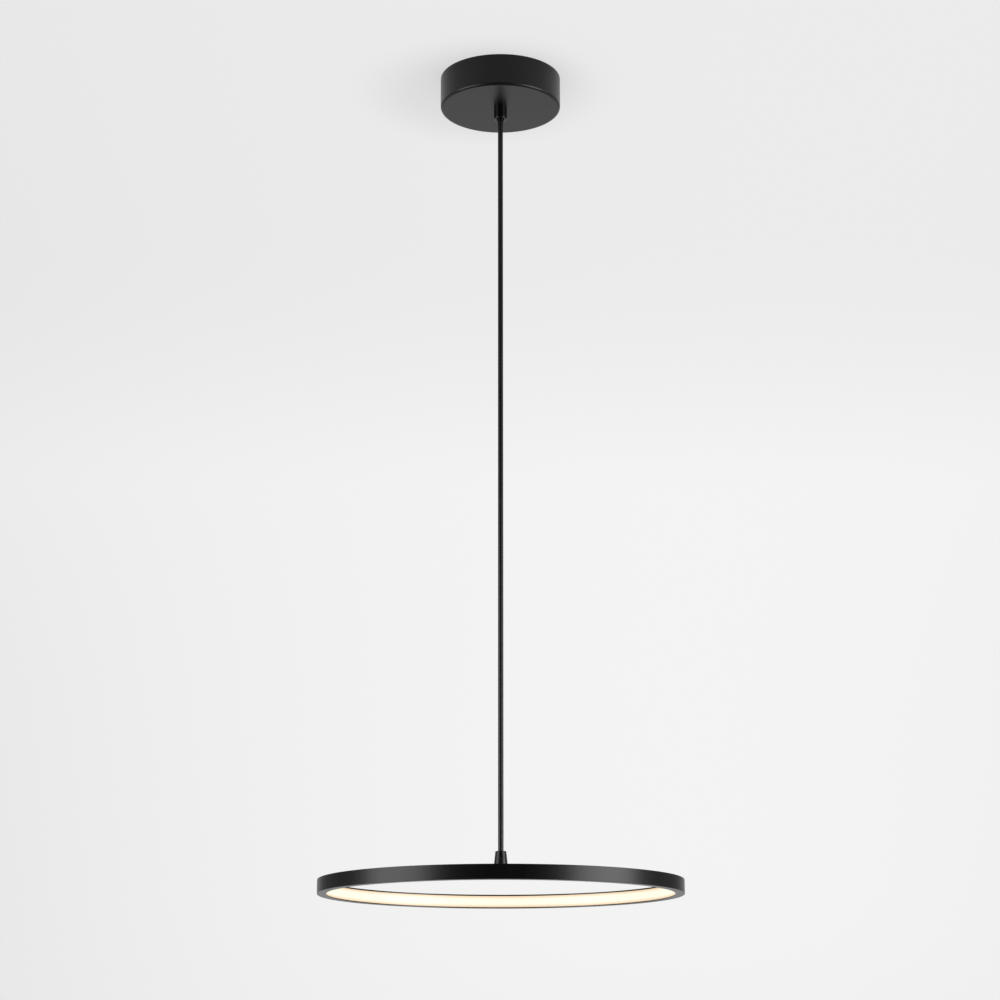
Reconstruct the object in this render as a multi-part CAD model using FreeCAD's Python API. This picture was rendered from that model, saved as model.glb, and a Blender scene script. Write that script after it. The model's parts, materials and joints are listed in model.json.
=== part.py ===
"""Pendant light with one LED ring on a single cord, in millimetres, +Z up.

The origin is the centre of the ceiling bracket's top face, so the whole light lies below Z = 0.
X runs along the bridge bar, and -Y is the side of the cone's grub screw.
"""
import FreeCAD, Part
import math
import os

V = FreeCAD.Vector

# ---- Driving dimensions -------------------------------------------------------------------

# Overall
ring_diameter = 400.0
ring_height = 15.4
rim_depth = 10.0
drop = 946.0  # ceiling to the top of the ring
canopy_diameter = 142.0
canopy_height = 38.2
cord_diameter = 6.0

# Clearances
moving_gap = 0.3  # between pieces that move on each other
fit_gap = 0.05  # between a thread or pin and its hole
seat_gap = 0.4  # between a piece and the canopy wall beside it

# Small screws, as shares of the shank's diameter
pan_head_width = 1.8
pan_head_height = 0.6
socket_width = 0.6

# Canopy cup
canopy_wall = 1.2
canopy_edge_radius = 3.0
canopy_rim_radius = 0.3

# Ceiling bracket
bracket_thickness = 2.0
bracket_width = 26.0
ear_width = 18.0
ear_height = 15.0
ear_thickness = 2.0
wing_margin = 4.0
ceiling_slot_spacing = 76.0
ceiling_slot_length = 17.0
ceiling_slot_width = 5.0
mains_hole_diameter = 16.0
side_screw_diameter = 4.0
side_screw_length = 5.6
side_screw_drop = 9.0
side_screw_recess = 0.15
earth_screw_diameter = 4.0
earth_screw_offset = 20.0
earth_washer_diameter = 9.0
earth_washer_thickness = 0.8
earth_eyelet_diameter = 7.6
earth_eyelet_thickness = 1.6
earth_tongue_width = 3.0
earth_tongue_length = 6.0
earth_tongue_thickness = 0.6

# Terminal block
terminal_length = 32.0
terminal_depth = 18.0
terminal_height = 14.0
terminal_offset = 25.0
terminal_poles = 3
terminal_pitch = 10.0
terminal_hole_diameter = 4.0
terminal_screw_diameter = 3.5
terminal_screw_rise = 5.0
terminal_screw_recess = 0.5
terminal_fixing_diameter = 3.0
terminal_slot_width = 0.8
terminal_slot_depth = 0.8

# LED driver
driver_length = 80.0
driver_width = 34.0
driver_height = 20.0
driver_edge_radius = 2.0
driver_wall_clearance = 3.0
driver_lug_length = 8.0
driver_lug_width = 14.0
driver_lug_thickness = 2.5
driver_screw_diameter = 3.0

# Leads
lead_diameter = 2.4
lead_bend = 4.0
thin_lead_diameter = 1.3
thin_lead_bend = 1.6
lead_in_terminal = 4.0
lead_out_of_terminal = 5.0
mains_lead_inset = 13.5  # from the driver's end
mains_lead_spacing = 8.5
output_lead_inset = 16.5
output_lead_spacing = 7.5
output_lead_rise = 8.0  # above the cord's inner end

# Cord grip and its sleeve
grip_diameter = 15.6
grip_height = 13.2
grip_edge_radius = 1.6
grip_thread_diameter = 10.0
grip_thread_length = 13.0
grip_nut_width = 14.0
grip_nut_height = 4.0
grip_washer_diameter = 18.0
grip_washer_thickness = 1.0
clamp_screw_diameter = 3.0
clamp_screw_drop = 3.2  # below the top of the grip's thread
swing_drop = 0.6  # the swing's pivot below the grip's face
sleeve_diameter = 8.8
sleeve_below_pivot = 1.6
sleeve_above_pivot = 2.2
swing_angle = 12.0  # each way

# Cord
cord_tail_rise = 4.0  # tail above the top of the grip's thread
cord_stop_diameter = 8.4
cord_stop_height = 3.4

# Cone coupling on the bridge
cone_height = 22.8
cone_top_diameter = 12.0
cone_base_diameter = 16.8
cone_edge_radius = 0.8
cone_shoulder_drop = 14.0  # below the cone's top
grub_screw_diameter = 3.0
grub_screw_drop = 8.9
grub_screw_recess = 0.3
ferrule_diameter = 8.4
ferrule_height = 4.2
nipple_diameter = 10.0
nipple_bore = 6.4
nipple_tail = 0.6  # below the nut
nipple_drop = 0.5  # below the ferrule
nut_width = 14.0
nut_height = 3.0

# Bridge bar
bridge_arch = 6.8
bridge_width = 14.0
bridge_thickness = 2.4
bridge_foot_length = 12.0
bridge_foot_width = 18.0
bridge_end_margin = 2.4
bridge_hub_diameter = 20.0
groove_width = 4.6
groove_depth = 1.7
cover_thickness = 0.8
cover_tongue_width = 6.8  # over the foot, between its screws
cover_rib_depth = 0.25
cover_gap = 0.2
bridge_screw_diameter = 2.5
bridge_screw_head = 4.6
bridge_head_margin = 0.3  # between the heads and the bar's end
bridge_screw_spacing = 12.4
bridge_screw_length = 6.2
bridge_lead_hole = 3.8
bridge_lead_spacing = 1.6
bridge_lead_steps = 12  # straight runs from the cone to a foot
nipple_lead_offset = 1.45
solder_drop = 1.6  # below the strip's upper edge
solder_spacing = 3.0
solder_reach = 1.4  # degrees past the strip's end

# Ring profile
profile_wall = 1.4
upper_flange = 1.5
lower_flange = 1.0
profile_edge_radius = 0.35
groove_lip = 0.35
diffuser_groove = 0.4
diffuser_thickness = 1.6
diffuser_gap = 0.1
joiner_angle = 14.0  # arc that a joiner block spans
joiner_height = 3.0
joiner_screw_angle = 5.2
joiner_screw_diameter = 2.5
joiner_screw_length = 3.8
joiner_screw_head = 5.0

# LED strip
strip_height = 8.0
strip_thickness = 0.35
strip_end_angle = 3.0
chips_per_half = 60
chip_width = 2.8
chip_height = 3.5
chip_thickness = 0.8

# ---- Sizes worked out from them ------------------------------------------------------------

ring_radius = ring_diameter / 2
ring_inner_radius = ring_radius - rim_depth
ring_top = -drop
ring_bottom = ring_top - ring_height
canopy_radius = canopy_diameter / 2
canopy_inner_radius = canopy_radius - canopy_wall
canopy_bottom = -canopy_height
canopy_floor = canopy_bottom + canopy_wall
cord_radius = cord_diameter / 2

bracket_bottom = -bracket_thickness
ear_face = math.sqrt(canopy_inner_radius ** 2 - (ear_width / 2) ** 2) - seat_gap

driver_outer = canopy_inner_radius - driver_wall_clearance
driver_back = math.sqrt(driver_outer ** 2 - (driver_length / 2) ** 2)
driver_front = driver_back - driver_width
driver_middle = (driver_back + driver_front) / 2
driver_bottom = bracket_bottom - driver_height
driver_screw_x = driver_length / 2 + driver_lug_length / 2

terminal_back = -terminal_offset
terminal_front = terminal_back - terminal_depth
terminal_middle = (terminal_back + terminal_front) / 2
terminal_bottom = bracket_bottom - terminal_height

grip_bottom = canopy_bottom - grip_height
grip_top = canopy_bottom + grip_thread_length
pivot_z = grip_bottom - swing_drop
seat_radius = sleeve_diameter / 2 + moving_gap
sleeve_bore_radius = cord_radius + moving_gap
tail_bottom = pivot_z + cord_radius + moving_gap
tail_top = grip_top + cord_tail_rise

bridge_end = ring_radius - bridge_end_margin
arch_reach = bridge_end - bridge_foot_length
arch_radius = (arch_reach ** 2 + bridge_arch ** 2) / (2 * bridge_arch)
arch_centre = ring_top + bridge_arch - arch_radius
hub_bottom = ring_top + bridge_arch
hub_top = hub_bottom + bridge_thickness
cone_top = hub_top + cone_height
cone_shoulder = cone_top - cone_shoulder_drop
ferrule_top = cone_shoulder - moving_gap
cord_bottom = ferrule_top - ferrule_height
nipple_top = cord_bottom - nipple_drop
nut_corner = nut_width / 2 / math.cos(math.radians(30))
nut_top = arch_centre + math.sqrt(arch_radius ** 2 - nut_corner ** 2)
nut_bottom = nut_top - nut_height
nipple_bottom = nut_bottom - nipple_tail
grub_screw_z = cone_top - grub_screw_drop

diffuser_inner = ring_inner_radius + groove_lip + diffuser_gap
diffuser_outer = diffuser_inner + diffuser_thickness
channel_inner = diffuser_outer + diffuser_gap
channel_outer = ring_radius - profile_wall
channel_top = ring_top - upper_flange
channel_bottom = ring_bottom + lower_flange
joiner_outer = channel_outer - fit_gap
joiner_inner = channel_inner + fit_gap
joiner_bottom = channel_top - joiner_height
bridge_screw_radius = bridge_end - bridge_head_margin - bridge_screw_head / 2
strip_outer = channel_outer - fit_gap
strip_inner = strip_outer - strip_thickness
strip_top = joiner_bottom - moving_gap
strip_middle = strip_top - strip_height / 2


# ---- Basic solids --------------------------------------------------------------------------

def block(x0, x1, y0, y1, z0, z1):
    return Part.makeBox(x1 - x0, y1 - y0, z1 - z0, V(x0, y0, z0))


def disc(radius, z0, z1, x=0.0, y=0.0):
    return Part.makeCylinder(radius, z1 - z0, V(x, y, z0))


def rod(radius, start, end):
    """A straight cylinder from one point to another."""
    axis = end.sub(start)
    return Part.makeCylinder(radius, axis.Length, start, axis)


def turned(outline, start=0.0, sweep=360.0):
    """An outline of (radius, z) points, turned about the Z axis from the angle start."""
    points = [V(r, 0, z) for r, z in outline]
    face = Part.Face(Part.makePolygon(points + points[:1]))
    face.rotate(V(0, 0, 0), V(0, 0, 1), start)
    return face.revolve(V(0, 0, 0), V(0, 0, 1), sweep)


def band(inner, outer, z0, z1, start=0.0, sweep=360.0):
    return turned([(inner, z0), (outer, z0), (outer, z1), (inner, z1)], start, sweep)


def polar(radius, angle, z):
    turn = math.radians(angle)
    return V(radius * math.cos(turn), radius * math.sin(turn), z)


def hexagon(width, z0, z1, x=0.0, y=0.0):
    """An upright hexagonal prism, width across its flats."""
    corner = width / 2 / math.cos(math.radians(30))
    points = [V(x, y, 0).add(polar(corner, 60 * n, z0)) for n in range(7)]
    return Part.Face(Part.makePolygon(points)).extrude(V(0, 0, z1 - z0))


def hex_recess(width, depth, mouth, inward):
    """The hexagonal hole in a screw's end: mouth is its centre, inward the way it goes."""
    recess = hexagon(width, 0, depth)
    turn = FreeCAD.Rotation(V(0, 0, 1), inward)
    recess.Placement = FreeCAD.Placement(mouth, turn)
    return recess


def tube(points, radius, bend):
    """A round tube along straight runs, joined by tangent arcs of radius bend or what fits."""
    edges = []
    at = points[0]
    for before, corner, after in zip(points, points[1:], points[2:]):
        back = before.sub(corner)
        ahead = after.sub(corner)
        half = back.getAngle(ahead) / 2
        room = 0.45 * min(back.Length, ahead.Length)
        cut = min(bend / math.tan(half), room)
        back.normalize()
        ahead.normalize()
        first = corner.add(back * cut)
        last = corner.add(ahead * cut)
        between = (back + ahead).normalize()
        arc_radius = cut * math.tan(half)
        middle = corner.add(between * (cut / math.cos(half) - arc_radius))
        edges.append(Part.LineSegment(at, first).toShape())
        edges.append(Part.Arc(first, middle, last).toShape())
        at = last
    edges.append(Part.LineSegment(at, points[-1]).toShape())
    path = Part.Wire(edges)
    start = points[1].sub(points[0])
    section = Part.Wire(Part.makeCircle(radius, points[0], start))
    return path.makePipeShell([section], True, False)


def countersunk(x, y, top, diameter, length, head_diameter):
    """A countersunk screw that points down, flush with the surface at top."""
    shank = disc(diameter / 2, top - length, top, x, y)
    sink = (head_diameter - diameter) / 2
    head = Part.makeCone(diameter / 2, head_diameter / 2, sink, V(x, y, top - sink))
    recess = hexagon(socket_width * diameter, top - sink, top + 1, x, y)
    return shank.fuse(head).cut(recess).removeSplitter()


def countersink(x, y, top, diameter, depth, head_diameter):
    """The hole that such a screw goes through."""
    hole = disc(diameter / 2 + fit_gap, top - depth, top + 1, x, y)
    sink = (head_diameter - diameter) / 2
    bottom = V(x, y, top - sink)
    taper = Part.makeCone(diameter / 2 + fit_gap, head_diameter / 2 + fit_gap, sink, bottom)
    return hole.fuse(taper)


def pan_screw(x, y, seat, diameter, top):
    """A screw with a flat round head, that points up from the face at seat."""
    shank = disc(diameter / 2, seat, top, x, y)
    head_bottom = seat - pan_head_height * diameter
    head = disc(pan_head_width * diameter / 2, head_bottom, seat, x, y)
    recess_top = (seat + head_bottom) / 2
    recess = hexagon(socket_width * diameter, head_bottom - 1, recess_top, x, y)
    return head.fuse(shank).removeSplitter().cut(recess)


def group(solids):
    return Part.makeCompound(solids)


def save(name, shape):
    shape.exportStep("parts/" + name + ".step")
    print(name, "solids", len(shape.Solids), "volume", round(shape.Volume, 2), shape.isValid())


# ---- Ceiling side --------------------------------------------------------------------------

def ceiling_bracket():
    strap = block(-ear_face, ear_face, -bracket_width / 2, bracket_width / 2, bracket_bottom, 0)
    wing_x = driver_screw_x + wing_margin
    wing_y = driver_middle + driver_lug_width / 2
    back_wing = block(-wing_x, wing_x, 0, wing_y, bracket_bottom, 0)
    half = terminal_length / 2 + wing_margin
    front_wing = block(-half, half, terminal_front, 0, bracket_bottom, 0)
    plate = strap.fuse(back_wing).fuse(front_wing).removeSplitter()
    plate = plate.common(disc(canopy_inner_radius - seat_gap, bracket_bottom, 0))
    for side in (-1, 1):
        ear_inner = ear_face - ear_thickness
        low, high = sorted((side * ear_inner, side * ear_face))
        ear = block(low, high, -ear_width / 2, ear_width / 2, -ear_height, 0)
        hole = rod(
            side_screw_diameter / 2 + fit_gap,
            V(side * (ear_inner - 1), 0, -side_screw_drop),
            V(side * (ear_face + 1), 0, -side_screw_drop),
        )
        plate = plate.fuse(ear.cut(hole))
        plate = plate.cut(ceiling_slot(side * ceiling_slot_spacing / 2))
        x = side * driver_screw_x
        plate = plate.cut(disc(driver_screw_diameter / 2 + fit_gap, bracket_bottom - 1, 1, x, driver_middle))
    plate = plate.cut(disc(mains_hole_diameter / 2, bracket_bottom - 1, 1))
    plate = plate.cut(disc(earth_screw_diameter / 2 + fit_gap, bracket_bottom - 1, 1, earth_screw_offset, 0))
    fixing = disc(terminal_fixing_diameter / 2 + fit_gap, bracket_bottom - 1, 1, 0, terminal_middle)
    return plate.cut(fixing).removeSplitter()


def ceiling_slot(x):
    radius = ceiling_slot_width / 2
    reach = ceiling_slot_length / 2 - radius
    slot = block(x - reach, x + reach, -radius, radius, bracket_bottom - 1, 1)
    for end in (x - reach, x + reach):
        slot = slot.fuse(disc(radius, bracket_bottom - 1, 1, end, 0))
    return slot


def earth_screw():
    seat = bracket_bottom - earth_eyelet_thickness - earth_washer_thickness
    return pan_screw(earth_screw_offset, 0, seat, earth_screw_diameter, -fit_gap)


def earth_washers():
    """A plain washer under the head and the lead's eyelet against the bracket."""
    radius = earth_washer_diameter / 2
    hole = disc(earth_screw_diameter / 2 + fit_gap, canopy_floor, 1, earth_screw_offset, 0)
    high = bracket_bottom - earth_eyelet_thickness
    washer = disc(radius, high - earth_washer_thickness, high, earth_screw_offset, 0)
    eyelet = disc(earth_eyelet_diameter / 2, high, bracket_bottom, earth_screw_offset, 0)
    return group([washer.cut(hole), eyelet.cut(hole)])


def side_screws():
    """Flush screws whose ends hold the canopy on the bracket's ears."""
    radius = side_screw_diameter / 2
    screws = []
    for side in (-1, 1):
        outer = V(side * (canopy_radius - side_screw_recess), 0, -side_screw_drop)
        inner = V(side * (canopy_radius - side_screw_length), 0, -side_screw_drop)
        recess = hex_recess(radius, 1.8, outer, V(-side, 0, 0))
        screws.append(rod(radius, inner, outer).cut(recess))
    return group(screws)


def canopy_cup():
    cup = disc(canopy_radius, canopy_bottom, 0)
    low_edge = [e for e in cup.Edges if abs(e.BoundBox.ZMax - canopy_bottom) < 1e-6]
    cup = cup.makeFillet(canopy_edge_radius, low_edge)
    top_edge = [e for e in cup.Edges if abs(e.BoundBox.ZMin) < 1e-6]
    cup = cup.makeFillet(canopy_rim_radius, top_edge)
    hollow = disc(canopy_inner_radius, canopy_floor, 1)
    floor_edge = [e for e in hollow.Edges if abs(e.BoundBox.ZMax - canopy_floor) < 1e-6]
    cup = cup.cut(hollow.makeFillet(canopy_edge_radius - canopy_wall, floor_edge))
    cup = cup.cut(disc(grip_thread_diameter / 2 + fit_gap, canopy_bottom - 1, canopy_floor + 1))
    for side in (-1, 1):
        start = V(side * (canopy_inner_radius - 2), 0, -side_screw_drop)
        end = V(side * (canopy_radius + 1), 0, -side_screw_drop)
        cup = cup.cut(rod(side_screw_diameter / 2 + fit_gap, start, end))
    return cup


def terminal_block():
    half = terminal_length / 2
    body = block(-half, half, terminal_front, terminal_back, terminal_bottom, bracket_bottom)
    hole_z = bracket_bottom - terminal_height / 2
    for x in terminal_places():
        start = V(x, terminal_front - 1, hole_z)
        end = V(x, terminal_back + 1, hole_z)
        body = body.cut(rod(terminal_hole_diameter / 2, start, end))
        for y in terminal_screw_rows():
            body = body.cut(disc(terminal_screw_diameter / 2 + fit_gap, terminal_bottom - 1, hole_z, x, y))
    fixing = disc(terminal_fixing_diameter / 2 + fit_gap, terminal_bottom - 1, 0, 0, terminal_middle)
    return body.cut(fixing)


def terminal_places():
    first = -(terminal_poles - 1) / 2
    return [terminal_pitch * (first + n) for n in range(terminal_poles)]


def terminal_screw_rows():
    step = terminal_depth / 4 + terminal_fixing_diameter / 4
    return (terminal_middle - step, terminal_middle + step)


def terminal_screws():
    low = terminal_bottom + terminal_screw_recess
    top = terminal_bottom + terminal_screw_rise
    slot_top = low + terminal_slot_depth
    half = terminal_slot_width / 2
    radius = terminal_screw_diameter / 2
    screws = []
    for x in terminal_places():
        for y in terminal_screw_rows():
            screw = disc(radius, low, top, x, y)
            screws.append(screw.cut(block(x - half, x + half, y - radius, y + radius, low, slot_top)))
    return group(screws)


def terminal_fixing_screw():
    return pan_screw(0, terminal_middle, terminal_bottom, terminal_fixing_diameter, -fit_gap)


def led_driver():
    half = driver_length / 2
    case = block(-half, half, driver_front, driver_back, driver_bottom, bracket_bottom)
    upright = [e for e in case.Edges if e.BoundBox.ZLength > driver_height - 1e-6]
    case = case.makeFillet(driver_edge_radius, upright)
    lug_half = driver_lug_width / 2
    lug_low = bracket_bottom - driver_lug_thickness
    reach = half + driver_lug_length
    y0 = driver_middle - lug_half
    y1 = driver_middle + lug_half
    case = case.fuse(block(-reach, reach, y0, y1, lug_low, bracket_bottom))
    for side in (-1, 1):
        x = side * driver_screw_x
        case = case.cut(disc(driver_screw_diameter / 2 + fit_gap, lug_low - 1, 0, x, driver_middle))
    return case.removeSplitter()


def driver_screws():
    seat = bracket_bottom - driver_lug_thickness
    places = (-driver_screw_x, driver_screw_x)
    return group([pan_screw(x, driver_middle, seat, driver_screw_diameter, -fit_gap) for x in places])


def mains_leads():
    """From the outer two poles of the terminal block to the driver's near face."""
    start_z = bracket_bottom - terminal_height / 2
    run_z = driver_bottom + driver_height / 2
    end_x = mains_lead_inset - driver_length / 2
    leads = []
    for x in terminal_places()[:2]:
        route = [
            V(x, terminal_back - lead_in_terminal, start_z),
            V(x, terminal_back + lead_out_of_terminal, start_z),
            V(end_x, 0, run_z),
            V(end_x, driver_front, run_z),
        ]
        leads.append(tube(route, lead_diameter / 2, lead_bend))
        end_x += mains_lead_spacing
    return group(leads)


def earth_lead():
    """From the last pole to the eyelet under the earth screw."""
    start_z = bracket_bottom - terminal_height / 2
    eyelet_z = bracket_bottom - earth_eyelet_thickness / 2
    x = terminal_places()[-1]
    edge = -earth_eyelet_diameter / 2
    route = [
        V(x, terminal_back - lead_in_terminal, start_z),
        V(x, terminal_back + lead_out_of_terminal, start_z),
        V(earth_screw_offset, edge - 2 * lead_bend, (start_z + eyelet_z) / 2),
        V(earth_screw_offset, edge - lead_bend, eyelet_z - lead_diameter / 2),
    ]
    lead = tube(route, lead_diameter / 2, lead_bend)
    half_width = earth_tongue_width / 2
    half_thickness = earth_tongue_thickness / 2
    tongue = block(
        earth_screw_offset - half_width, earth_screw_offset + half_width, edge - earth_tongue_length, 0,
        eyelet_z - half_thickness, eyelet_z + half_thickness,
    )
    eyelet = disc(fit_gap - edge, canopy_floor, 0, earth_screw_offset, 0)
    return lead.fuse(tongue.cut(eyelet)).removeSplitter()


def output_leads():
    """From the driver's near face to the cord's inner end."""
    face_z = driver_bottom + driver_height / 2
    above = tail_top + output_lead_rise
    out_x = driver_length / 2 - output_lead_inset
    leads = []
    for x in (cord_radius / 2, -cord_radius / 2):
        route = [
            V(out_x, driver_front, face_z),
            V(out_x, driver_front / 2, face_z),
            V(x, 0, above),
            V(x, 0, tail_top),
        ]
        leads.append(tube(route, thin_lead_diameter / 2, thin_lead_bend))
        out_x -= output_lead_spacing
    return group(leads)


# ---- Cord grip, sleeve and cord --------------------------------------------------------------

def cord_grip():
    body = disc(grip_diameter / 2, grip_bottom, canopy_bottom)
    low_edge = [e for e in body.Edges if abs(e.BoundBox.ZMax - grip_bottom) < 1e-6]
    body = body.makeFillet(grip_edge_radius, low_edge)
    body = body.fuse(disc(grip_thread_diameter / 2, canopy_bottom, grip_top)).removeSplitter()
    body = body.cut(disc(cord_radius + fit_gap, grip_bottom - 1, grip_top + 1))
    body = body.cut(Part.makeSphere(seat_radius, V(0, 0, pivot_z)))
    screw_z = grip_top - clamp_screw_drop
    hole = rod(clamp_screw_diameter / 2 + fit_gap, V(0, 0, screw_z), V(0, -grip_diameter, screw_z))
    return body.cut(hole)


def grip_washer():
    hole = disc(grip_thread_diameter / 2 + fit_gap, canopy_floor - 1, canopy_floor + 5)
    return disc(grip_washer_diameter / 2, canopy_floor, canopy_floor + grip_washer_thickness).cut(hole)


def grip_nut():
    low = canopy_floor + grip_washer_thickness
    hole = disc(grip_thread_diameter / 2 + fit_gap, low - 1, low + grip_nut_height + 1)
    return hexagon(grip_nut_width, low, low + grip_nut_height).cut(hole)


def clamp_screw():
    z = grip_top - clamp_screw_drop
    inner = V(0, -cord_radius - fit_gap, z)
    outer = V(0, -grip_thread_diameter / 2 - 1.5, z)
    recess = hex_recess(clamp_screw_diameter / 2, 1.5, outer, V(0, 1, 0))
    return rod(clamp_screw_diameter / 2, inner, outer).cut(recess)


def cord_tail():
    return disc(cord_radius, tail_bottom, tail_top)


def cord_stop():
    """A crimped ring that rests on the grip's thread, so the cord can't pull through."""
    low = grip_top
    hole = disc(cord_radius + fit_gap, low - 1, low + cord_stop_height + 1)
    return disc(cord_stop_diameter / 2, low, low + cord_stop_height).cut(hole)


def bend_sleeve():
    """A short sleeve with a ball-shaped shoulder, so that it can tip in the grip's seat."""
    radius = sleeve_diameter / 2
    low = pivot_z - sleeve_below_pivot
    body = Part.makeSphere(radius, V(0, 0, pivot_z)).fuse(disc(radius, low, pivot_z))
    body = body.common(disc(radius + 1, low, pivot_z + sleeve_above_pivot)).removeSplitter()
    bore = disc(sleeve_bore_radius, low - 1, pivot_z + sleeve_above_pivot + 1)
    tip = math.tan(math.radians(swing_angle))
    mouth = cord_radius / math.cos(math.radians(swing_angle)) + sleeve_below_pivot * tip + moving_gap / 2
    flare = Part.makeCone(mouth, sleeve_bore_radius, sleeve_below_pivot - 0.2, V(0, 0, low))
    return body.cut(bore.fuse(flare))


def suspension_cord():
    """One straight run, domed at the top about the swing's pivot, square at the bottom."""
    run = disc(cord_radius, cord_bottom, pivot_z)
    dome = Part.makeSphere(cord_radius, V(0, 0, pivot_z))
    return run.fuse(dome).removeSplitter()


def cord_ferrule():
    hole = disc(cord_radius + fit_gap, cord_bottom - 1, ferrule_top + 1)
    return disc(ferrule_diameter / 2, cord_bottom, ferrule_top).cut(hole)


# ---- Cone coupling ---------------------------------------------------------------------------

def coupling_cone():
    cone = Part.makeCone(cone_base_diameter / 2, cone_top_diameter / 2, cone_height, V(0, 0, hub_top))
    top_edge = [e for e in cone.Edges if abs(e.BoundBox.ZMin - cone_top) < 1e-6]
    cone = cone.makeFillet(cone_edge_radius, top_edge)
    cone = cone.cut(disc(cord_radius + moving_gap, hub_top - 1, cone_top + 1))
    cone = cone.cut(disc(nipple_diameter / 2 + fit_gap, hub_top - 1, cone_shoulder))
    screw_hole = rod(grub_screw_diameter / 2 + fit_gap, V(0, 0, grub_screw_z), V(0, -20, grub_screw_z))
    return cone.cut(screw_hole)


def grub_screw():
    half_taper = (cone_base_diameter - cone_top_diameter) / 2
    surface = cone_top_diameter / 2 + half_taper * grub_screw_drop / cone_height
    outer = V(0, -surface + grub_screw_recess, grub_screw_z)
    inner = V(0, -cord_radius - moving_gap, grub_screw_z)
    recess = hex_recess(grub_screw_diameter / 2, 1.4, outer, V(0, 1, 0))
    return rod(grub_screw_diameter / 2, inner, outer).cut(recess)


def coupling_nipple():
    """A hollow threaded tube, with a window to each side for the leads."""
    body = disc(nipple_diameter / 2, nipple_bottom, nipple_top)
    body = body.cut(disc(nipple_bore / 2, nipple_bottom - 1, nipple_top + 1))
    half = nipple_bore / 2 - 0.4
    return body.cut(block(-20, 20, -half, half, hub_top - groove_depth, hub_top + 0.2))


def coupling_nut():
    hole = disc(nipple_diameter / 2 + fit_gap, nut_bottom - 1, nut_top + 1)
    return hexagon(nut_width, nut_bottom, nut_top).cut(hole)


# ---- Bridge bar across the ring --------------------------------------------------------------

def arch_slab(low, high, half_width):
    """A slab between two heights above the bridge's underside: flat over its ends, arched between."""
    reach = ring_radius
    def level(height):
        radius = arch_radius + height
        flat = ring_top + height
        x = math.sqrt(radius ** 2 - (flat - arch_centre) ** 2)
        ends = [V(-reach, 0, flat), V(-x, 0, flat), V(0, 0, arch_centre + radius), V(x, 0, flat)]
        return ends + [V(reach, 0, flat)]
    a = level(low)
    b = level(high)
    edges = [
        Part.LineSegment(a[0], a[1]), Part.Arc(a[1], a[2], a[3]), Part.LineSegment(a[3], a[4]),
        Part.LineSegment(a[4], b[4]),
        Part.LineSegment(b[4], b[3]), Part.Arc(b[3], b[2], b[1]), Part.LineSegment(b[1], b[0]),
        Part.LineSegment(b[0], a[0]),
    ]
    face = Part.Face(Part.Wire([e.toShape() for e in edges]))
    face.translate(V(0, -half_width, 0))
    return face.extrude(V(0, 2 * half_width, 0))


def bar_plan(width, reach):
    """A straight bar along X, whose ends follow the ring."""
    low = ring_top - 1
    high = cone_top
    return block(-reach, reach, -width / 2, width / 2, low, high).common(disc(bridge_end, low, high))


def bridge_holes():
    """The countersunk holes in the bar's feet."""
    top = ring_top + bridge_thickness
    size = bridge_screw_diameter
    return [countersink(x, y, top, size, 10, bridge_screw_head) for x, y in bridge_screw_places()]


def bridge_screw_places():
    y = bridge_screw_spacing / 2
    x = math.sqrt(bridge_screw_radius ** 2 - y ** 2)
    return [(x, y), (x, -y), (-x, y), (-x, -y)]


def lead_holes(z0, z1):
    return [disc(bridge_lead_hole / 2, z0, z1, side * bridge_screw_radius, 0) for side in (-1, 1)]


def bridge_bar():
    """The bar with its round hub and two wider feet, and a groove along its top for the leads."""
    low = ring_top - 1
    feet = bar_plan(bridge_foot_width, ring_radius).cut(bar_plan(bridge_foot_width, arch_reach))
    plan = bar_plan(bridge_width, ring_radius).fuse(feet).fuse(disc(bridge_hub_diameter / 2, low, cone_top))
    bar = arch_slab(0, bridge_thickness, bridge_hub_diameter).common(plan)
    groove = arch_slab(bridge_thickness - groove_depth, bridge_thickness + 1, groove_width / 2)
    reach = bridge_screw_radius + bridge_lead_hole / 2
    bar = bar.cut(groove.common(block(-reach, reach, -20, 20, low, cone_top)))
    bar = bar.cut(disc(nipple_diameter / 2 + fit_gap, hub_bottom - 1, hub_top + 1))
    for hole in bridge_holes() + lead_holes(low, ring_top + bridge_thickness):
        bar = bar.cut(hole)
    return bar.removeSplitter()


def bridge_cover(side):
    """A thin strip over one half of the bar, with a tongue over its foot and a rib in its groove."""
    low = ring_top - 1
    plan = bar_plan(bridge_width, arch_reach).fuse(bar_plan(cover_tongue_width, ring_radius))
    strip = arch_slab(bridge_thickness, bridge_thickness + cover_thickness, bridge_width).common(plan)
    rib = arch_slab(bridge_thickness - cover_rib_depth, bridge_thickness, groove_width / 2 - cover_gap)
    inner = cone_base_diameter / 2 + cover_gap
    reach = bridge_screw_radius + bridge_lead_hole / 2 - cover_gap
    rib = rib.common(block(inner, reach, -20, 20, low, cone_top))
    cover = strip.common(block(inner, ring_radius, -20, 20, low, cone_top)).fuse(rib)
    if side < 0:
        cover.rotate(V(0, 0, 0), V(0, 0, 1), 180)
    return cover.removeSplitter()


def bridge_screws():
    top = ring_top + bridge_thickness
    return group([
        countersunk(x, y, top, bridge_screw_diameter, bridge_screw_length, bridge_screw_head)
        for x, y in bridge_screw_places()
    ])


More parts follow.
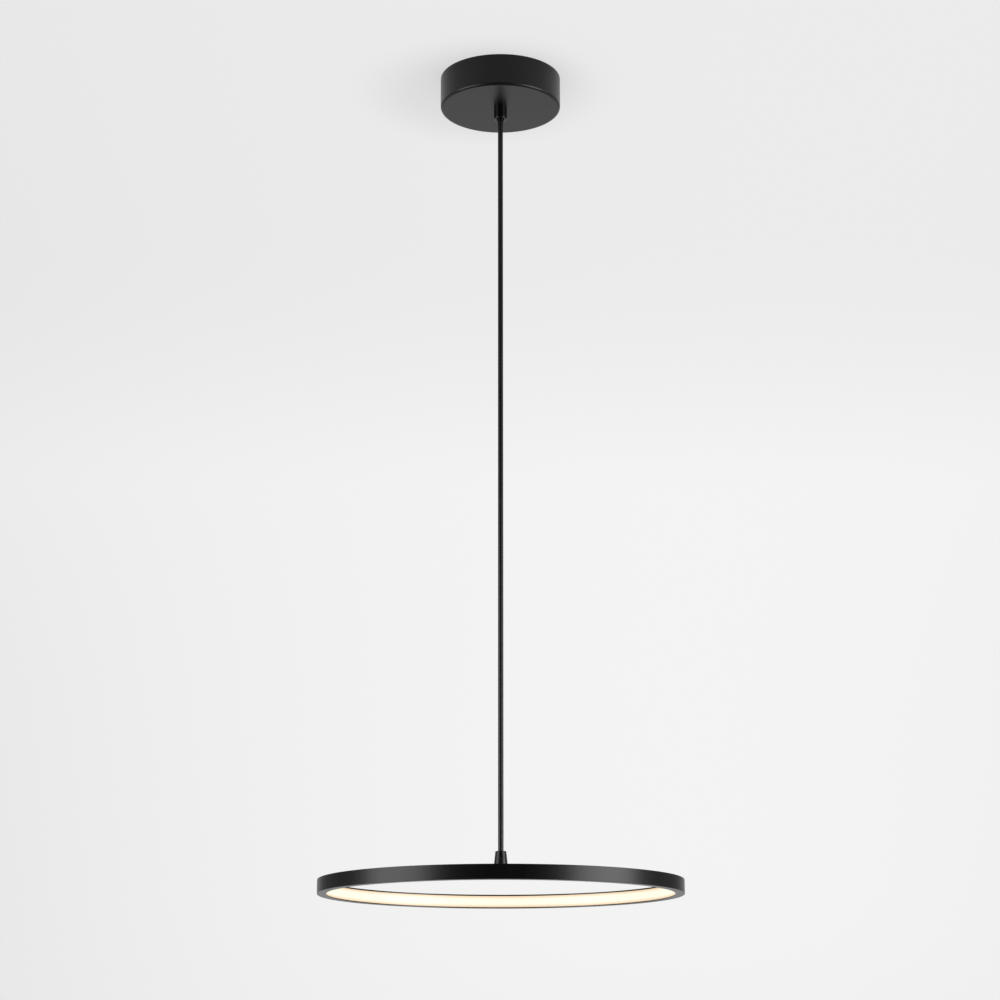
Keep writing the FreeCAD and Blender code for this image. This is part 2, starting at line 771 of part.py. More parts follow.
def bridge_leads():
    """Two thin leads to each side: down the nipple, along the groove and down into the ring."""
    radius = thin_lead_diameter / 2
    height = bridge_thickness - groove_depth + radius + fit_gap
    reach = arch_reach - nipple_lead_offset
    run = [nipple_lead_offset + reach * n / bridge_lead_steps for n in range(bridge_lead_steps + 1)]
    leads = []
    for side in (-1, 1):
        for n, y in enumerate((-bridge_lead_spacing / 2, bridge_lead_spacing / 2)):
            route = [V(nipple_lead_offset, y, nipple_top)]
            for x in run + [bridge_screw_radius]:
                route.append(V(x, y, arch_height(x, height)))
            solder_z = strip_top - solder_drop - solder_spacing * n
            solder_angle = -strip_end_angle - solder_reach
            solder = polar(strip_inner - radius - fit_gap, solder_angle, solder_z)
            route.append(V(bridge_screw_radius, y, solder_z))
            route.append(solder)
            lead = tube(route, radius, thin_lead_bend)
            if side < 0:
                lead.rotate(V(0, 0, 0), V(0, 0, 1), 180)
            leads.append(lead)
    return group(leads)


def arch_height(x, height):
    """The z of a point at the given height above the bridge's underside."""
    if abs(x) >= arch_reach:
        return ring_top + height
    return arch_centre + math.sqrt((arch_radius + height) ** 2 - x ** 2)


# ---- Ring ------------------------------------------------------------------------------------

def profile_outline():
    """The ring's channel, open inwards, with a groove in each flange for the diffuser's edges."""
    lip = ring_inner_radius + groove_lip
    upper = channel_top
    lower = channel_bottom
    g = diffuser_groove
    return [
        (ring_radius, ring_top), (ring_radius, ring_bottom), (ring_inner_radius, ring_bottom),
        (ring_inner_radius, lower), (lip, lower), (lip, lower - g), (channel_inner, lower - g),
        (channel_inner, lower), (channel_outer, lower), (channel_outer, upper),
        (channel_inner, upper), (channel_inner, upper + g), (lip, upper + g), (lip, upper),
        (ring_inner_radius, upper), (ring_inner_radius, ring_top),
    ]


def ring_profile(start):
    """Half of the ring, from the angle start."""
    ring = turned(profile_outline(), start, 180)
    corners = [e for e in ring.Edges if is_outer_corner(e)]
    ring = ring.makeFillet(profile_edge_radius, corners)
    for hole in lead_holes(channel_top - 1, ring_top + 1):
        ring = ring.cut(hole)
    for x, y in bridge_screw_places():
        ring = ring.cut(disc(bridge_screw_diameter / 2 + fit_gap, channel_top - 1, ring_top + 1, x, y))
    for x, y in joiner_screw_places():
        ring = ring.cut(joiner_screw_hole(x, y))
    return ring


def is_outer_corner(edge):
    """Is it one of the long arcs at the ring's outer wall?"""
    if not hasattr(edge.Curve, "Radius"):
        return False
    box = edge.BoundBox
    flat = box.ZLength < 1e-6
    return flat and abs(edge.Curve.Radius - ring_radius) < 1e-6


def joiner_screw_places():
    places = []
    for middle in (0, 180):
        for turn in (-joiner_screw_angle, joiner_screw_angle):
            point = polar(bridge_screw_radius, middle + turn, 0)
            places.append((point.x, point.y))
    return places


def joiner_screw_hole(x, y):
    depth = upper_flange + joiner_height + 1
    return countersink(x, y, ring_top, joiner_screw_diameter, depth, joiner_screw_head)


def ring_joiner(middle):
    """A block inside the channel that ties the two halves together at a seam."""
    start = middle - joiner_angle / 2
    joiner = band(joiner_inner, joiner_outer, joiner_bottom, channel_top, start, joiner_angle)
    for hole in lead_holes(joiner_bottom - 1, channel_top + 1):
        joiner = joiner.cut(hole)
    for x, y in bridge_screw_places():
        joiner = joiner.cut(disc(bridge_screw_diameter / 2 + fit_gap, joiner_bottom - 1, 0, x, y))
    for x, y in joiner_screw_places():
        joiner = joiner.cut(joiner_screw_hole(x, y))
    return joiner


def joiner_screws():
    return group([
        countersunk(x, y, ring_top, joiner_screw_diameter, joiner_screw_length, joiner_screw_head)
        for x, y in joiner_screw_places()
    ])


def diffuser(start):
    low = channel_bottom - diffuser_groove + diffuser_gap
    high = channel_top + diffuser_groove - diffuser_gap
    return band(diffuser_inner, diffuser_outer, low, high, start, 180)


def led_strip(start):
    sweep = 180 - 2 * strip_end_angle
    low = strip_top - strip_height
    return band(strip_inner, strip_outer, low, strip_top, start + strip_end_angle, sweep)


def led_chips(start):
    sweep = 180 - 2 * strip_end_angle
    step = sweep / (chips_per_half + 1)
    chip = block(
        strip_inner - chip_thickness, strip_inner - fit_gap,
        -chip_width / 2, chip_width / 2,
        strip_middle - chip_height / 2, strip_middle + chip_height / 2,
    )
    chips = []
    for n in range(chips_per_half):
        copy = chip.copy()
        angle = start + strip_end_angle + step * (n + 1)
        copy.rotate(V(0, 0, 0), V(0, 0, 1), angle)
        chips.append(copy)
    return group(chips)


# ---- All nodes -------------------------------------------------------------------------------

def main():
    os.makedirs("parts", exist_ok=True)
    save("ceiling_bracket", ceiling_bracket())
    save("earth_screw", earth_screw())
    save("earth_washers", earth_washers())
    save("canopy_side_screws", side_screws())
    save("canopy_cup", canopy_cup())
    save("terminal_block", terminal_block())
    save("terminal_screws", terminal_screws())
    save("terminal_fixing_screw", terminal_fixing_screw())
    save("led_driver", led_driver())
    save("driver_screws", driver_screws())
    save("mains_leads", mains_leads())
    save("earth_lead", earth_lead())
    save("output_leads", output_leads())
    save("cord_grip", cord_grip())
    save("grip_washer", grip_washer())
    save("grip_nut", grip_nut())
    save("clamp_screw", clamp_screw())
    save("cord_tail", cord_tail())
    save("cord_stop", cord_stop())
    save("bend_sleeve", bend_sleeve())
    save("suspension_cord", suspension_cord())
    save("cord_ferrule", cord_ferrule())
    save("coupling_cone", coupling_cone())
    save("grub_screw", grub_screw())
    save("coupling_nipple", coupling_nipple())
    save("coupling_nut", coupling_nut())
    save("bridge_bar", bridge_bar())
    save("bridge_cover_right", bridge_cover(1))
    save("bridge_cover_left", bridge_cover(-1))
    save("bridge_screws", bridge_screws())
    save("bridge_leads", bridge_leads())
    save("ring_profile_back", ring_profile(0))
    save("ring_profile_front", ring_profile(180))
    save("ring_joiner_right", ring_joiner(0))
    save("ring_joiner_left", ring_joiner(180))
    save("joiner_screws", joiner_screws())
    save("diffuser_back", diffuser(0))
    save("diffuser_front", diffuser(180))
    save("led_strip_back", led_strip(0))
    save("led_strip_front", led_strip(180))
    save("led_chips_back", led_chips(0))
    save("led_chips_front", led_chips(180))


main()
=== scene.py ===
"""Looks of a pendant light with one LED ring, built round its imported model. Metres, +Z up.

Z = 0 is the ceiling, X runs along the ring's bridge bar, and the camera stands on the -Y side.
"""

import json
import math

import bpy
from mathutils import Matrix, Vector


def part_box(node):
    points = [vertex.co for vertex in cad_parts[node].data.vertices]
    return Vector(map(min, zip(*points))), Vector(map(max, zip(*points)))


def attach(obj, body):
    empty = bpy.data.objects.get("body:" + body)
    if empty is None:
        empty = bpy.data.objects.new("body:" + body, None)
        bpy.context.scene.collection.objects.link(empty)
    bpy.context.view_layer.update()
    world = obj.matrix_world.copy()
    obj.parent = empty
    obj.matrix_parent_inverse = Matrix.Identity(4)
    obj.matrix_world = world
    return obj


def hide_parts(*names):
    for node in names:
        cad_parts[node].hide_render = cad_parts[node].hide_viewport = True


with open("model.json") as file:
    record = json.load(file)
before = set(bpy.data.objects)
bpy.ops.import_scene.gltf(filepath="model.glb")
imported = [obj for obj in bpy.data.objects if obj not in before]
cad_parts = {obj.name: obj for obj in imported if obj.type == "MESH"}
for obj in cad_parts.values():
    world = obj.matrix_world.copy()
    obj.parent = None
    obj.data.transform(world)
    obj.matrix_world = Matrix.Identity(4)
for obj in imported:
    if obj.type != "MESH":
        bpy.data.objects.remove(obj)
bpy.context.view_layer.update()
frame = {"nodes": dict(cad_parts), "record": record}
scene = bpy.context.scene

# ---- Camera, fitted to the photograph's edges ------------------------------------------------

image_size = 1000  # pixels, both ways
focal_pixels = 2298.6  # the lens's focal length in the photograph's pixels
sensor_width = 36.0
camera_pitch = math.radians(14.306)  # upwards
camera_roll = math.radians(-0.029)
camera_distance = 2.5330  # in front of the cord
camera_drop = 1.1632  # below the ceiling
camera_side = -0.0007  # the camera's X

# ---- Cord ------------------------------------------------------------------------------------

cord_diameter = 0.0060
cord_exit_z = -0.0520  # the pivot in the grip
cord_end_z = -0.9325  # the lower face of the ferrule in the cone
cord_points = 4  # control points of its curve
cord_bevel_steps = 10  # roundness of its section

# ---- Values of the materials -----------------------------------------------------------------

coat_ior = 1.35  # of the black lacquer and plastics
stripe_waves = 2400.0  # radians per metre of height, for the stripes of the earth lead
diffuser_strength = 0.97
diffuser_even = 0.35  # share of the diffuser's half height that has its middle colour
led_strength = 1.0

# ---- Room: its surfaces ----------------------------------------------------------------------

sheet_gap = 0.0004  # ceiling sheet to the canopy's rim, and backdrop's foot to the floor
ceiling_hole = 0.0700  # radius that is open above the canopy
backdrop_half_width = 1.9
ceiling_front = -1.3
wall_y = 3.6
cove_radius = 1.5
cove_steps = 24
floor_z = -3.4
floor_size = 24.0

# ---- Room: its levels ------------------------------------------------------------------------

pale = (1.0, 1.0, 0.997)  # tint of the room
room_level = 0.900  # the backdrop at its brightest
away_level = 0.80  # at the backdrop's edges and where none is seen
side_fall = 0.0295  # loss of level per square metre to the sides
side_fall_middle = 0.445  # the X from which it is counted
ceiling_level = 0.927  # share of the backdrop's level above the object
ceiling_brightens = (0.5, 2.0)  # from the first Y to the second
fade_sides = (1.85, 1.35)  # each fades to the away level from its second value to its first
fade_front = (-1.25, -0.3)
fade_low = (-2.2, -0.6)
bounce_share = 0.66  # how much of the light the room's surfaces give back
mirrored_front = 0.30  # share of the ceiling's level at its front, as the object mirrors it
mirrored_ceiling = (-0.55, 0.10)  # the Y over which that rises to the whole level
mirrored_below = 0.12  # the same share for the front of the floor
mirrored_floor = (0.8, 2.2)

close_shade_reach = 0.15  # of the canopy's contact shade on the ceiling
close_shade_share = 0.24
soft_shade_middle = (-0.024, 0.04)  # X and Y of the wider shade
soft_shade_reach = (0.07, 0.17)  # from the whole shade to none
soft_shade_share = 0.10

# ---- World: its levels as a light ------------------------------------------------------------

world_front = 0.01  # towards the camera's side
world_side = 0.13
world_back = 0.24
world_above = 0.90
world_to_side = (-1.0, 0.0)  # the Y of a direction, from the front to the sides
world_to_back = (0.0, 0.9)
world_to_above = (0.60, 0.80)  # the Z of a direction

# ---- Softboxes -------------------------------------------------------------------------------

softbox_turn = math.radians(64.0)  # to each side of the camera, seen from the cord
softbox_distance = 2.0
softbox_width = 1.5
softbox_height = 1.5
softbox_middle_z = -0.85
softbox_radiance = {"left": 5.4, "right": 7.0}


# ---- Camera and cord -------------------------------------------------------------------------

def make_camera():
    data = bpy.data.cameras.new("camera")
    data.sensor_width = sensor_width
    data.lens = sensor_width * focal_pixels / image_size
    camera = bpy.data.objects.new("camera", data)
    camera.location = (camera_side, -camera_distance, -camera_drop)
    upright = Matrix.Rotation(math.pi / 2 + camera_pitch, 3, "X")
    camera.rotation_euler = (upright @ Matrix.Rotation(camera_roll, 3, "Z")).to_euler()
    scene.collection.objects.link(camera)
    scene.camera = camera


def make_cord():
    """The straight cord from the pivot in the grip down to the ferrule in the cone."""
    curve = bpy.data.curves.new("cord_line", "CURVE")
    curve.dimensions = "3D"
    curve.bevel_depth = 1.0  # times each point's radius
    curve.bevel_resolution = cord_bevel_steps
    curve.use_fill_caps = True
    spline = curve.splines.new("NURBS")
    spline.points.add(cord_points - 1)
    for n, point in enumerate(spline.points):
        share = n / (cord_points - 1)
        point.co = (0, 0, cord_exit_z + share * (cord_end_z - cord_exit_z), 1)
        point.radius = cord_diameter / 2
    spline.order_u = 3
    spline.use_endpoint_u = True
    cord = bpy.data.objects.new("hanging_cord", curve)
    scene.collection.objects.link(cord)
    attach(cord, "cord")
    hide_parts("suspension_cord")
    return cord


# ---- Building with nodes ---------------------------------------------------------------------

def grey(level):
    return (level, level, level, 1.0)


def tinted(colour, factor):
    return tuple(channel * factor for channel in colour) + (1.0,)


class Wiring:
    """Short ways to add nodes to the tree of a material or of the world."""

    def __init__(self, tree):
        self.nodes = tree.nodes
        self.links = tree.links

    def node(self, kind, **settings):
        made = self.nodes.new(kind)
        for name, value in settings.items():
            setattr(made, name, value)
        return made

    def put(self, socket, value):
        """Sets a socket to a plain value, or links it to another node's output."""
        if isinstance(value, bpy.types.NodeSocket):
            self.links.new(value, socket)
        else:
            socket.default_value = value

    def math(self, operation, *values):
        made = self.node("ShaderNodeMath", operation=operation)
        for socket, value in zip(made.inputs, values):
            self.put(socket, value)
        return made.outputs["Value"]

    def ramp(self, value, start, end, low, high, kind="SMOOTHSTEP"):
        """A number that goes from low to high as value goes from start to end."""
        made = self.node("ShaderNodeMapRange", interpolation_type=kind)
        self.put(made.inputs["Value"], value)
        limits = (("From Min", start), ("From Max", end), ("To Min", low), ("To Max", high))
        for name, limit in limits:
            self.put(made.inputs[name], limit)
        return made.outputs["Result"]

    def coordinates(self, kind="Object"):
        """The outputs X, Y and Z of one kind of coordinates."""
        split = self.node("ShaderNodeSeparateXYZ")
        self.links.new(self.node("ShaderNodeTexCoord").outputs[kind], split.inputs["Vector"])
        return split.outputs


class Finish(Wiring):
    """A material of the object, built node by node round its shader."""

    def __init__(self, name):
        self.material = bpy.data.materials.new(name)
        self.material.use_nodes = True
        super().__init__(self.material.node_tree)
        self.shader = self.nodes["Principled BSDF"]
        self.place = self.node("ShaderNodeTexCoord").outputs["Object"]

    def set(self, **values):
        """Sets the shader's own sockets, such as Base_Color."""
        for name, value in values.items():
            self.put(self.shader.inputs[name.replace("_", " ")], value)

    def noise(self, scale, detail=2.0, stretch=(1, 1, 1)):
        """Noise of so many cells per metre, times the stretch of each axis."""
        mapping = self.node("ShaderNodeMapping")
        self.links.new(self.place, mapping.inputs["Vector"])
        mapping.inputs["Scale"].default_value = stretch
        made = self.node("ShaderNodeTexNoise")
        self.links.new(mapping.outputs["Vector"], made.inputs["Vector"])
        made.inputs["Scale"].default_value = scale
        made.inputs["Detail"].default_value = detail
        return made.outputs["Fac"]

    def between(self, share, low, high, start=0.3, end=0.7):
        """A number from low to high as share goes evenly from start to end."""
        return self.ramp(share, start, end, low, high, kind="LINEAR")

    def blend(self, share, first, second):
        """A colour from first to second as share goes from 0 to 1."""
        made = self.node("ShaderNodeMix", data_type="RGBA")
        colours = [socket for socket in made.inputs if socket.type == "RGBA"]
        self.put(made.inputs["Factor"], share)
        self.put(colours[0], first)
        self.put(colours[1], second)
        return next(socket for socket in made.outputs if socket.type == "RGBA")

    def mottle(self, noise, first, second):
        """A colour that wanders between two with the noise."""
        return self.blend(self.between(noise, 0.0, 1.0), first, second)

    def bump(self, height, strength, depth):
        made = self.node("ShaderNodeBump")
        made.inputs["Strength"].default_value = strength
        made.inputs["Distance"].default_value = depth
        self.links.new(height, made.inputs["Height"])
        self.links.new(made.outputs["Normal"], self.shader.inputs["Normal"])


# ---- Materials -------------------------------------------------------------------------------

def black_coat():
    """Fine matt powder coat: an even black with a barely pebbled skin."""
    finish = Finish("black_coat_finish")
    cloud = finish.noise(scale=35.0, detail=3.0)
    skin = finish.noise(scale=1500.0)
    finish.set(
        Base_Color=finish.mottle(cloud, grey(0.0012), grey(0.0022)),
        Roughness=finish.between(skin, low=0.31, high=0.37),
        IOR=coat_ior,
    )
    finish.bump(skin, strength=0.05, depth=0.0001)
    return finish.material


def black_plastic():
    """Moulded black plastic with a finer, slightly glossier skin."""
    finish = Finish("black_plastic_finish")
    skin = finish.noise(scale=2200.0, detail=3.0)
    sheen = finish.noise(scale=400.0)
    finish.set(
        Base_Color=finish.mottle(skin, grey(0.0015), grey(0.0030)),
        Roughness=finish.between(sheen, low=0.15, high=0.21),
        IOR=coat_ior,
    )
    finish.bump(skin, strength=0.08, depth=0.00006)
    return finish.material


def cord_sheath():
    """Satin cable sheath: faint lines along it from the extrusion and a soft sheen."""
    finish = Finish("cord_sheath_finish")
    lines = finish.noise(scale=2600.0, stretch=(1, 1, 0.01))
    patches = finish.noise(scale=60.0, stretch=(1, 1, 0.4))
    finish.set(
        Base_Color=finish.mottle(patches, grey(0.0020), grey(0.0035)),
        Roughness=finish.between(patches, low=0.30, high=0.37),
        IOR=coat_ior,
    )
    finish.bump(lines, strength=0.15, depth=0.00008)
    return finish.material


def zinc_steel():
    """Steel with a dull zinc layer: long fine lines along X and cloudy spots."""
    finish = Finish("zinc_steel_finish")
    lines = finish.noise(scale=900.0, detail=4.0, stretch=(0.04, 1, 1))
    cloud = finish.noise(scale=90.0, detail=4.0)
    finish.set(
        Base_Color=finish.mottle(cloud, (0.48, 0.49, 0.51, 1), (0.62, 0.63, 0.64, 1)),
        Metallic=1.0,
        Roughness=finish.between(lines, low=0.32, high=0.46),
    )
    finish.bump(lines, strength=0.08, depth=0.0001)
    return finish.material


def brass():
    """Turned brass: fine level lines from the tool and cloudy spots."""
    finish = Finish("brass_finish")
    turning = finish.noise(scale=3000.0, stretch=(0.05, 0.05, 1))
    cloud = finish.noise(scale=200.0, detail=3.0)
    finish.set(
        Base_Color=finish.mottle(cloud, (0.62, 0.43, 0.19, 1), (0.78, 0.57, 0.28, 1)),
        Metallic=1.0,
        Roughness=finish.between(turning, low=0.22, high=0.34),
    )
    finish.bump(turning, strength=0.10, depth=0.00006)
    return finish.material


def black_steel():
    """Blackened steel: a dark oxide that is worn a little brighter in places."""
    finish = Finish("black_steel_finish")
    wear = finish.noise(scale=700.0, detail=4.0)
    worn = finish.between(wear, low=0.0, high=1.0, start=0.45, end=0.75)
    finish.set(
        Base_Color=finish.blend(worn, grey(0.012), grey(0.035)),
        Metallic=0.4,
        Roughness=finish.between(wear, low=0.44, high=0.34),
    )
    finish.bump(wear, strength=0.10, depth=0.00005)
    return finish.material


def moulded(name, colour, roughness):
    """Pale moulded plastic with a slight unevenness of tone and a fine spark-eroded skin."""
    finish = Finish(name)
    skin = finish.noise(scale=1800.0, detail=3.0)
    cloud = finish.noise(scale=45.0)
    finish.set(
        Base_Color=finish.mottle(cloud, tinted(colour, 0.93), tinted(colour, 1.03)),
        Roughness=finish.between(skin, low=roughness - 0.05, high=roughness + 0.05),
    )
    finish.bump(skin, strength=0.10, depth=0.00006)
    return finish.material


def two_leads(name, first, second, slope, middle):
    """Smooth sheath of two leads side by side, one of each colour.

    An upright plane parts them. It crosses the X axis at middle, and slope is its X per Y.
    """
    finish = Finish(name)
    place = finish.coordinates()
    parting = finish.math("MULTIPLY", place["Y"], slope)
    across = finish.math("SUBTRACT", place["X"], parting)
    side = finish.math("GREATER_THAN", across, middle)
    sheen = finish.noise(scale=500.0)
    finish.set(
        Base_Color=finish.blend(side, first, second),
        Roughness=finish.between(sheen, low=0.34, high=0.46),
    )
    finish.bump(sheen, strength=0.06, depth=0.0001)
    return finish.material


def earth_sheath():
    """Green sheath with yellow stripes."""
    finish = Finish("earth_sheath_finish")
    height = finish.coordinates()["Z"]
    wave = finish.math("SINE", finish.math("MULTIPLY", height, stripe_waves))
    stripe = finish.between(wave, low=0.0, high=1.0, start=0.1, end=0.3)
    sheen = finish.noise(scale=500.0)
    finish.set(
        Base_Color=finish.blend(stripe, (0.05, 0.22, 0.04, 1), (0.66, 0.58, 0.05, 1)),
        Roughness=finish.between(sheen, low=0.34, high=0.46),
    )
    return finish.material


def aluminium():
    """Milled aluminium with fine upright lines."""
    finish = Finish("aluminium_finish")
    lines = finish.noise(scale=1600.0, detail=3.0, stretch=(1, 1, 0.1))
    finish.set(
        Base_Color=finish.mottle(lines, grey(0.66), grey(0.78)),
        Metallic=1.0,
        Roughness=finish.between(lines, low=0.30, high=0.42),
    )
    finish.bump(lines, strength=0.08, depth=0.00008)
    return finish.material


def diffuser():
    """Lit opal diffuser: nearly white at mid height, warmer towards both of its edges."""
    finish = Finish("diffuser_finish")
    low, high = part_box("diffuser_front")
    middle = (low.z + high.z) / 2
    half = (high.z - low.z) / 2
    height = finish.coordinates()["Z"]
    offset = finish.math("ABSOLUTE", finish.math("SUBTRACT", height, middle))
    warmth = finish.ramp(offset, diffuser_even * half, half, 0.0, 1.0)
    grain = finish.noise(scale=900.0)
    finish.set(
        Base_Color=(0.12, 0.11, 0.09, 1),
        Roughness=finish.between(grain, low=0.42, high=0.52),
        Emission_Color=finish.blend(warmth, (0.915, 0.90, 0.74, 1), (0.80, 0.56, 0.33, 1)),
        Emission_Strength=diffuser_strength,
    )
    finish.bump(grain, strength=0.05, depth=0.00005)
    return finish.material


def circuit_strip():
    """White solder mask with bare copper spots."""
    finish = Finish("circuit_strip_finish")
    grain = finish.noise(scale=700.0)
    bare = finish.between(grain, low=0.0, high=1.0, start=0.62, end=0.66)
    finish.set(
        Base_Color=finish.blend(bare, (0.85, 0.84, 0.79, 1), (0.62, 0.34, 0.16, 1)),
        Roughness=0.4,
    )
    return finish.material


def led_yellow():
    """Phosphor of the lit LED packages."""
    finish = Finish("led_yellow_finish")
    grain = finish.noise(scale=2500.0)
    finish.set(
        Base_Color=finish.mottle(grain, (0.85, 0.62, 0.16, 1), (0.95, 0.78, 0.30, 1)),
        Roughness=0.5,
        Emission_Color=(1.0, 0.82, 0.5, 1),
        Emission_Strength=led_strength,
    )
    return finish.material


def make_materials():
    """One material for each of the record's material slots."""
    brown, blue = (0.17, 0.07, 0.03, 1), (0.03, 0.09, 0.30, 1)
    red, black = (0.42, 0.03, 0.02, 1), (0.02, 0.02, 0.02, 1)
    return {
        "black_coat": black_coat(),
        "black_plastic": black_plastic(),
        "cord_sheath": cord_sheath(),
        "zinc_steel": zinc_steel(),
        "brass": brass(),
        "black_steel": black_steel(),
        "white_plastic": moulded("white_plastic_finish", (0.80, 0.80, 0.78), roughness=0.42),
        "terminal_plastic": moulded("terminal_plastic_finish", (0.72, 0.71, 0.66), roughness=0.48),
        "lead_sheath": two_leads("lead_sheath_finish", brown, blue, slope=-0.62, middle=-0.024),
        "earth_sheath": earth_sheath(),
        "thin_lead_sheath": two_leads("thin_lead_sheath_finish", red, black, slope=2.2, middle=0.0),
        "aluminium": aluminium(),
        "diffuser": diffuser(),
        "circuit_strip": circuit_strip(),
        "led_yellow": led_yellow(),
    }


def dress(materials, cord):
    """Gives every node and the cord the material of their slot."""
    for row in frame["record"]["subparts"]:
        node = frame["nodes"][row["node"]]
        node.data.materials.clear()
        node.data.materials.append(materials[row["material_slot"]])
    cord.data.materials.append(materials["cord_sheath"])


# ---- Studio ----------------------------------------------------------------------------------

class RoomWiring(Wiring):
    """Builds a room surface's material or the world from nothing."""

    def __init__(self, tree):
        super().__init__(tree)
        self.nodes.clear()

    def shader(self, kind, colour, strength=None):
        made = self.node(kind)
        made.inputs["Color"].default_value = colour
        if strength is not None:
            self.put(made.inputs["Strength"], strength)
        return made.outputs[0]

    def mix(self, share, first, second):
        """The first shader where share is 0, the second where it is 1."""
        made = self.node("ShaderNodeMixShader")
        self.put(made.inputs["Fac"], share)
        self.links.new(first, made.inputs[1])
        self.links.new(second, made.inputs[2])
        return made.outputs["Shader"]

    def squares_added(self, first, second):
        """The first number's square plus the second's."""
        return self.math("MULTIPLY_ADD", first, first, self.math("MULTIPLY", second, second))

    def ray(self, *kinds):
        """1 for rays of any of these kinds, 0 for the rest."""
        path = self.node("ShaderNodeLightPath")
        share = path.outputs[kinds[0]]
        for kind in kinds[1:]:
            share = self.math("MAXIMUM", share, path.outputs[kind])
        return share

    def finish(self, kind, shader):
        """Ends the tree in an output node of this kind."""
        self.links.new(shader, self.node(kind).inputs["Surface"])


def backdrop_level(wiring, place):
    """The room's level by place: brightest on the wall, lower above the object and to the sides."""
    off = wiring.math("SUBTRACT", place["X"], side_fall_middle)
    fall = wiring.math("MULTIPLY", wiring.math("MULTIPLY", off, off), side_fall)
    share = wiring.ramp(place["Y"], *ceiling_brightens, ceiling_level, 1.0)
    level = wiring.math("MULTIPLY", wiring.math("SUBTRACT", room_level, fall), share)
    extra = wiring.math("SUBTRACT", level, away_level)
    aside = wiring.math("ABSOLUTE", place["X"])
    for way, fade in ((aside, fade_sides), (place["Y"], fade_front), (place["Z"], fade_low)):
        extra = wiring.math("MULTIPLY", extra, wiring.ramp(way, *fade, 0.0, 1.0))
    return wiring.math("ADD", extra, away_level)


def canopy_shade(wiring, place):
    """The canopy's shade on the ceiling: close contact shade, and a wider soft one."""
    close = wiring.node("ShaderNodeAmbientOcclusion")
    close.inputs["Distance"].default_value = close_shade_reach
    opening = close.outputs["AO"]
    near = wiring.math("MULTIPLY_ADD", opening, close_shade_share, 1 - close_shade_share)
    off_x = wiring.math("SUBTRACT", place["X"], soft_shade_middle[0])
    off_y = wiring.math("SUBTRACT", place["Y"], soft_shade_middle[1])
    distance = wiring.math("SQRT", wiring.squares_added(off_x, off_y))
    wide = wiring.ramp(distance, *soft_shade_reach, 1 - soft_shade_share, 1.0)
    return wiring.math("MULTIPLY", near, wide)


def room_material(name, is_ceiling):
    """A pale surface that looks evenly lit, and that is clear from its back."""
    material = bpy.data.materials.new(name)
    material.use_nodes = True
    wiring = RoomWiring(material.node_tree)
    place = wiring.coordinates()
    level = backdrop_level(wiring, place)
    back = wiring.node("ShaderNodeNewGeometry").outputs["Backfacing"]
    if is_ceiling:
        level = wiring.math("MULTIPLY", level, canopy_shade(wiring, place))
        mirrored = wiring.ramp(place["Y"], *mirrored_ceiling, mirrored_front, 1.0)
        off_axis = wiring.squares_added(place["X"], place["Y"])
        back = wiring.math("MAXIMUM", back, wiring.math("LESS_THAN", off_axis, ceiling_hole ** 2))
    else:
        mirrored = wiring.ramp(place["Y"], *mirrored_floor, mirrored_below, 1.0)
    plainly_seen = wiring.math("SUBTRACT", 1.0, wiring.ray("Is Glossy Ray"))
    level = wiring.math("MULTIPLY", level, wiring.math("MAXIMUM", mirrored, plainly_seen))
    look = wiring.shader("ShaderNodeEmission", tinted(pale, 1.0), level)
    bounce = wiring.shader("ShaderNodeBsdfDiffuse", tinted(pale, bounce_share))
    seen = wiring.ray("Is Camera Ray", "Is Glossy Ray", "Is Transmission Ray")
    clear = wiring.shader("ShaderNodeBsdfTransparent", grey(1.0))
    surface = wiring.mix(back, wiring.mix(seen, bounce, look), clear)
    wiring.finish("ShaderNodeOutputMaterial", surface)
    return material


def strip_of_room(name, half_width, outline, material):
    """A sheet along X that follows an outline of (y, z) points. Going along +Y it faces down."""
    vertices = []
    faces = []
    for n, (y, z) in enumerate(outline):
        vertices += [(-half_width, y, z), (half_width, y, z)]
        if n:
            faces.append((2 * n - 2, 2 * n, 2 * n + 1, 2 * n - 1))
    mesh = bpy.data.meshes.new(name)
    mesh.from_pydata(vertices, [], faces)
    mesh.materials.append(material)
    made = bpy.data.objects.new(name, mesh)
    scene.collection.objects.link(made)


def cove(middle_y, middle_z, start):
    """A quarter circle of (y, z) points, from the angle start, clockwise."""
    turns = [start - math.pi / 2 * n / cove_steps for n in range(cove_steps + 1)]
    return [
        (middle_y + cove_radius * math.cos(turn), middle_z + cove_radius * math.sin(turn))
        for turn in turns
    ]


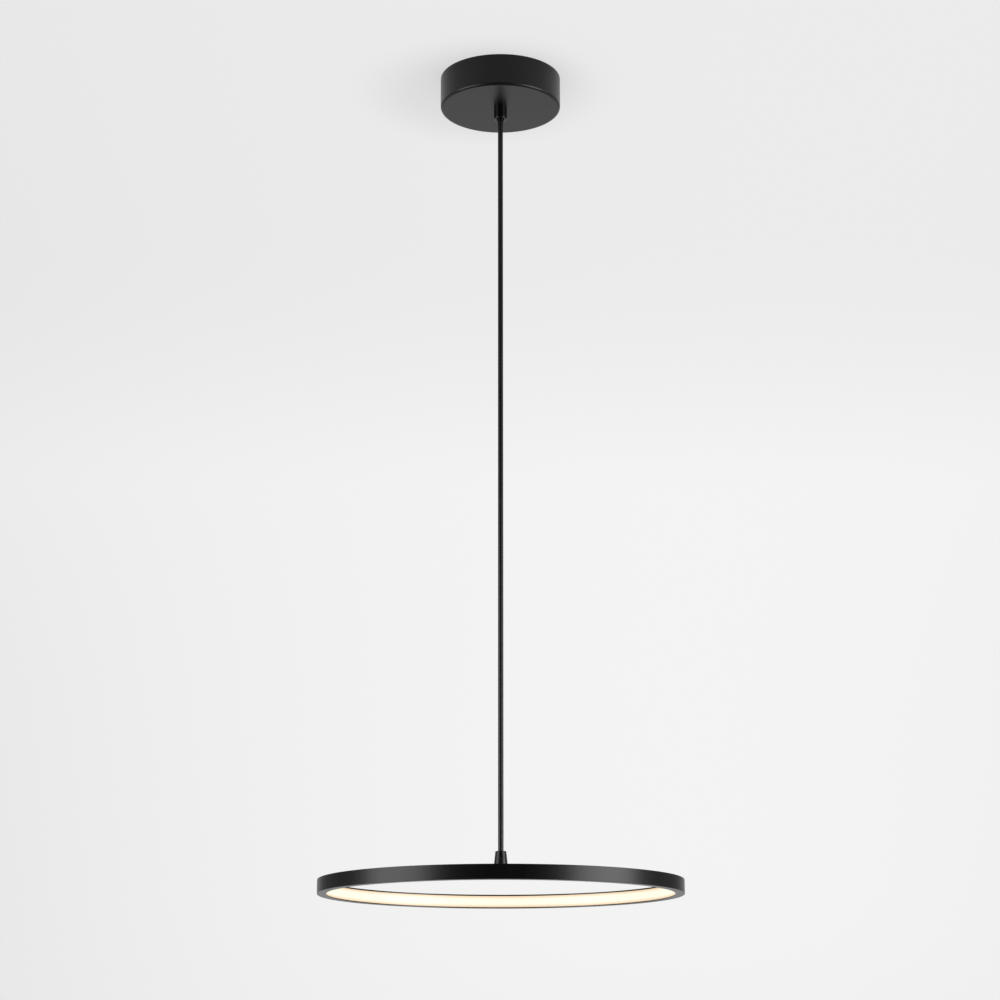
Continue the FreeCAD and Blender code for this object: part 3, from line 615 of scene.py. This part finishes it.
def make_room():
    """A ceiling that turns down into a wall, which turns into the floor."""
    walls = room_material("backdrop_paint", is_ceiling=False)
    overhead = room_material("ceiling_paint", is_ceiling=True)
    cove_y = wall_y - cove_radius
    ceiling = [(ceiling_front, sheet_gap), (cove_y, sheet_gap)]
    strip_of_room("ceiling", backdrop_half_width, ceiling, overhead)
    upper = cove(cove_y, sheet_gap - cove_radius, math.pi / 2)
    lower = cove(cove_y, floor_z + cove_radius, 0)
    strip_of_room("backdrop", backdrop_half_width, upper + lower, walls)
    half = floor_size / 2
    floor = [(half, floor_z - sheet_gap), (-half, floor_z - sheet_gap)]
    strip_of_room("floor", half, floor, walls)


def make_world():
    """Pale where it is seen; as a light, dark on the camera's side and bright above."""
    world = bpy.data.worlds.new("studio")
    scene.world = world
    world.use_nodes = True
    wiring = RoomWiring(world.node_tree)
    way = wiring.coordinates("Generated")
    front = wiring.ramp(way["Y"], *world_to_side, world_front, world_side)
    around = wiring.ramp(way["Y"], *world_to_back, front, world_back)
    level = wiring.ramp(way["Z"], *world_to_above, around, world_above)
    light = wiring.shader("ShaderNodeBackground", tinted(pale, 1.0), level)
    look = wiring.shader("ShaderNodeBackground", tinted(pale, 1.0), away_level)
    surface = wiring.mix(wiring.ray("Is Camera Ray"), light, look)
    wiring.finish("ShaderNodeOutputWorld", surface)


def softbox(side, turn):
    """An upright soft light that faces the cord, turned about it from the camera's side."""
    data = bpy.data.lights.new("softbox_" + side, "AREA")
    data.shape = "RECTANGLE"
    data.size = softbox_width
    data.size_y = softbox_height
    data.energy = softbox_radiance[side] * math.pi * softbox_width * softbox_height
    lamp = bpy.data.objects.new("softbox_" + side, data)
    away = Vector((math.sin(turn), -math.cos(turn), 0))
    lamp.location = away * softbox_distance + Vector((0, 0, softbox_middle_z))
    lamp.rotation_euler = away.to_track_quat("Z", "Y").to_euler()
    lamp.visible_camera = False
    scene.collection.objects.link(lamp)


def make_studio():
    scene.view_settings.view_transform = "Standard"
    make_room()
    make_world()
    softbox("left", -softbox_turn)
    softbox("right", softbox_turn)


def write_sizes():
    """Updates the view layer, so that every object's placement is current."""
    bpy.context.view_layer.update()


make_camera()
hanging_cord = make_cord()
dress(make_materials(), hanging_cord)
make_studio()
write_sizes()
